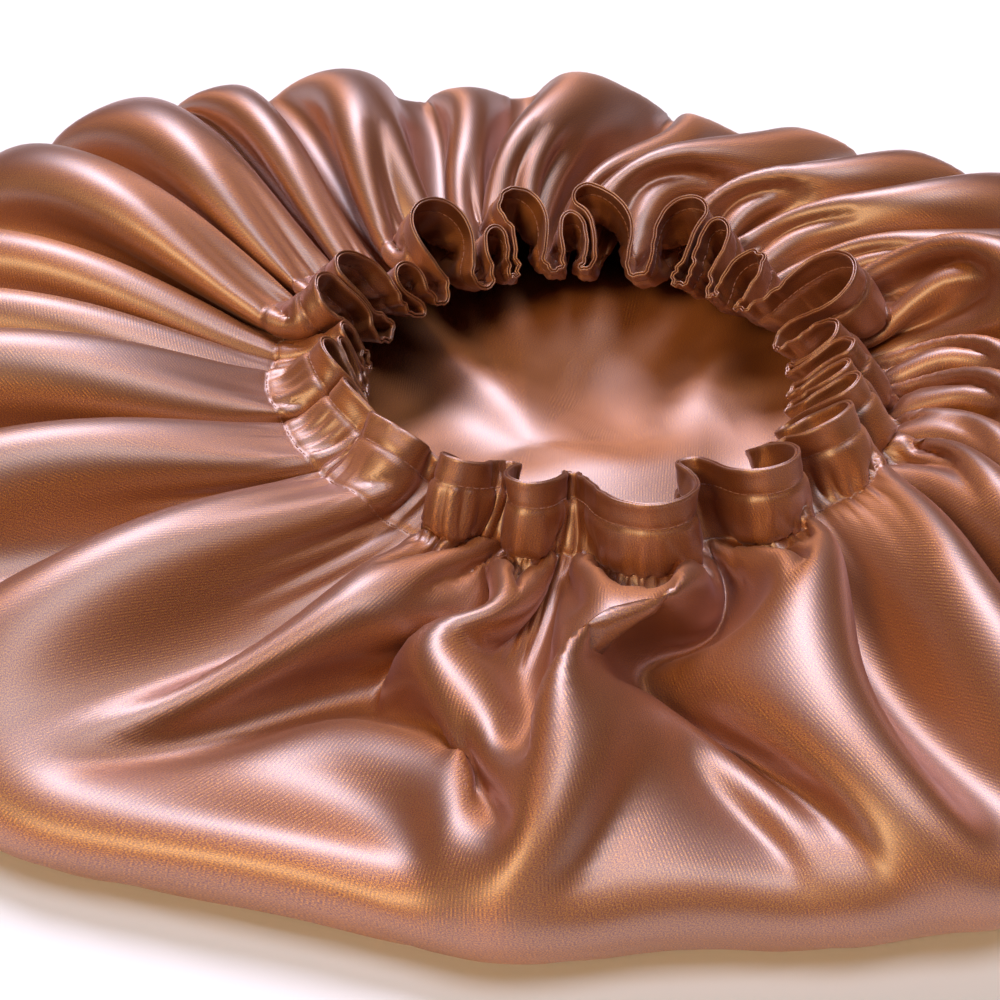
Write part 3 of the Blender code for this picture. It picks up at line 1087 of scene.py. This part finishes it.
class BONNET_OT_elastic(bpy.types.Operator):
    """Makes the knitted elastic between the two rows of stitches"""

    bl_idname = "bonnet.elastic"
    bl_label = "Elastic"

    def execute(self, context):
        sizes, colours = context.scene.bonnet_sizes, context.scene.bonnet_colours
        upper = seams(sizes)[1]
        section = [(upper - below, offset) for below, offset in ELASTIC_SIDE]
        rows = offset_rows(sizes, section, 1) + offset_rows(sizes, section[::-1], -1)
        count = len(rows[0])
        numbers = np.arange(len(rows) * count).reshape(len(rows), count)
        faces = []
        for first, second in zip(numbers, np.roll(numbers, -1, axis=0)):
            faces += band_faces(first.tolist(), second.tolist())
        material = knitted_elastic(colours)
        elastic = new_object("elastic_core", np.concatenate(rows), faces, material)
        numbers = numbers.ravel()
        places = [numbers % count / count, numbers // count / len(rows)]
        add_uv(elastic, "along_band", np.stack(places, axis=1))
        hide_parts("elastic_band")
        return {"FINISHED"}


# Along one stitch, whose ends dip into the cloth: how far along each ring of its corners is,
# as a share, and how thick the thread and how high its middle are there, in its radius.
STITCH_RINGS = [(0.04, 0.45, -0.6), (0.22, 1.0, 0.35), (0.78, 1.0, 0.35), (0.96, 0.45, -0.6)]
SIDES = 5  # of the thread


def stitch_points(start, end, out, radius):
    """The corners of one stitch, ring by ring."""
    along = (end - start) / np.linalg.norm(end - start)
    side = np.cross(along, out)
    points = []
    for share, size, height in STITCH_RINGS:
        middle = start + (end - start) * share + out * height * radius
        for i in range(SIDES):
            turn = 2 * math.pi * i / SIDES
            corner = (side * math.cos(turn) + out * math.sin(turn)) * size * radius
            points.append(middle + corner)
    return points


def stitch_faces(first):
    """The faces of one stitch, whose corners are numbered on from this one."""
    faces = []
    last = first + (len(STITCH_RINGS) - 1) * SIDES
    for ring in range(first, last, SIDES):
        for i in range(SIDES):
            a, b = ring + i, ring + (i + 1) % SIDES
            faces.append((a, b, b + SIDES, a + SIDES))
    faces.append(tuple(first + i for i in reversed(range(SIDES))))
    faces.append(tuple(last + i for i in range(SIDES)))
    return faces


class BONNET_OT_stitches(bpy.types.Operator):
    """Sews the two rows of lockstitch, which show on both sides of the casing"""

    bl_idname = "bonnet.stitches"
    bl_label = "Stitches"

    def execute(self, context):
        sizes, colours = context.scene.bonnet_sizes, context.scene.bonnet_colours
        arcs, _, normals, angles = sheet_of(sizes)
        points, faces = [], []
        for arc in seams(sizes)[1:]:
            row = int(np.argmin(abs(arcs - arc)))
            count = round(2 * math.pi * arc / sizes.stitch)
            closed = np.append(angles, 2 * math.pi)
            places = np.interp(
                np.linspace(0, 2 * math.pi, count + 1), closed, np.arange(len(closed))
            )
            base = places.astype(int) % len(angles)
            share = (places % 1)[:, None]
            for side in (1, -1):
                face = offset_rows(sizes, [(arc, sizes.layer - STITCH_DEPTH)], side)[0]
                ends = face[base] * (1 - share) + face[(base + 1) % len(face)] * share
                outs = normals[row][base] * side
                for start, end, out in zip(ends[:-1], ends[1:], outs):
                    faces += stitch_faces(len(points))
                    points += stitch_points(start, end, out, sizes.thread / 2)
        stitches = new_object("lockstitch_rows", points, faces, spun_thread(colours))
        return {"FINISHED"}


# Name, the place it shines from, how wide it looks in degrees, its strength in watts to a
# square metre and its colour, for each soft light. Each is far off, so that the floor is lit
# evenly out to the horizon.
LIGHTS = [
    ("window", (-0.30, 1.20, 1.80), 26.0, 2.8, "#E4E2FA"),
    ("overhead", (0.35, -0.20, 1.70), 30.0, 1.2, "#EEF0FF"),
    ("fill", (-0.70, -1.10, 0.95), 16.0, 1.4, "#FFDAA6"),
]


class BONNET_OT_stage(bpy.types.Operator):
    """Adds the pale floor, the soft lights and the camera"""

    bl_idname = "bonnet.stage"
    bl_label = "Stage"

    def execute(self, context):
        colours = context.scene.bonnet_colours
        bpy.ops.object.select_all(action="DESELECT")
        bpy.ops.mesh.primitive_plane_add(size=80.0, location=(0, 0, -0.0003))
        floor = context.object
        floor.name = "studio_floor"
        floor.data.materials.append(painted_board(colours))
        for name, place, width, strength, colour in LIGHTS:
            light = bpy.data.lights.new(name, "SUN")
            light.angle = math.radians(width)
            light.energy = strength
            light.color = linear(colour)[:3]
            lamp = bpy.data.objects.new(name, light)
            lamp.location = place
            lamp.rotation_euler = (-Vector(place)).to_track_quat("-Z", "Y").to_euler()
            context.collection.objects.link(lamp)
        world = bpy.data.worlds.new("studio")
        world.use_nodes = True
        nodes = world.node_tree.nodes
        set_inputs(nodes["Background"], Color=(1, 1, 1, 1), Strength=0.02)
        # The backdrop behind the floor's edge is seen as pale, but lights nothing.
        backdrop = add_node(world, "Background", Color=(1, 1, 1, 1))
        seen = add_node(world, "LightPath").outputs["Is Camera Ray"]
        dim, pale = nodes["Background"].outputs[0], backdrop.outputs[0]
        mix = add_node(world, "MixShader", in_0=seen, in_1=dim, in_2=pale)
        set_inputs(nodes["World Output"], Surface=mix.outputs[0])
        context.scene.world = world
        context.scene.view_settings.view_transform = "Standard"
        camera = bpy.data.objects.new("camera", bpy.data.cameras.new("camera"))
        camera.data.lens = 63.0
        camera.data.sensor_width = 36.0
        camera.data.clip_start = 0.01
        camera.location = (0.0, -0.4263, 0.2992)
        # It looks down by 36.05 degrees, and a little to the left.
        camera.rotation_euler = (math.radians(90 - 36.05), 0.0, math.radians(3.44))
        context.collection.objects.link(camera)
        context.scene.camera = camera
        return {"FINISHED"}


class BONNET_PT_panel(bpy.types.Panel):
    """Lists the bonnet's pieces, sizes and colours"""

    bl_idname = "BONNET_PT_panel"
    bl_label = "Sleep bonnet"
    bl_space_type = "VIEW_3D"
    bl_region_type = "UI"
    bl_category = "Bonnet"

    def draw(self, context):
        for group in (context.scene.bonnet_sizes, context.scene.bonnet_colours):
            for name in group.__annotations__:
                self.layout.prop(group, name)
        for operator in OPERATORS:
            self.layout.operator(operator.bl_idname)


OPERATORS = (
    BONNET_OT_stage,
    BONNET_OT_shell,
    BONNET_OT_lining,
    BONNET_OT_elastic,
    BONNET_OT_stitches,
)
CLASSES = (BonnetSizes, BonnetColours, *OPERATORS, BONNET_PT_panel)


def register():
    for cls in CLASSES:
        bpy.utils.register_class(cls)
    bpy.types.Scene.bonnet_sizes = bpy.props.PointerProperty(type=BonnetSizes)
    bpy.types.Scene.bonnet_colours = bpy.props.PointerProperty(type=BonnetColours)


def unregister():
    del bpy.types.Scene.bonnet_sizes
    del bpy.types.Scene.bonnet_colours
    for cls in reversed(CLASSES):
        bpy.utils.unregister_class(cls)


def main():
    register()
    bpy.ops.bonnet.stage()
    bpy.ops.bonnet.shell()
    bpy.ops.bonnet.lining()
    bpy.ops.bonnet.elastic()
    bpy.ops.bonnet.stitches()


if __name__ == "__main__":
    main()
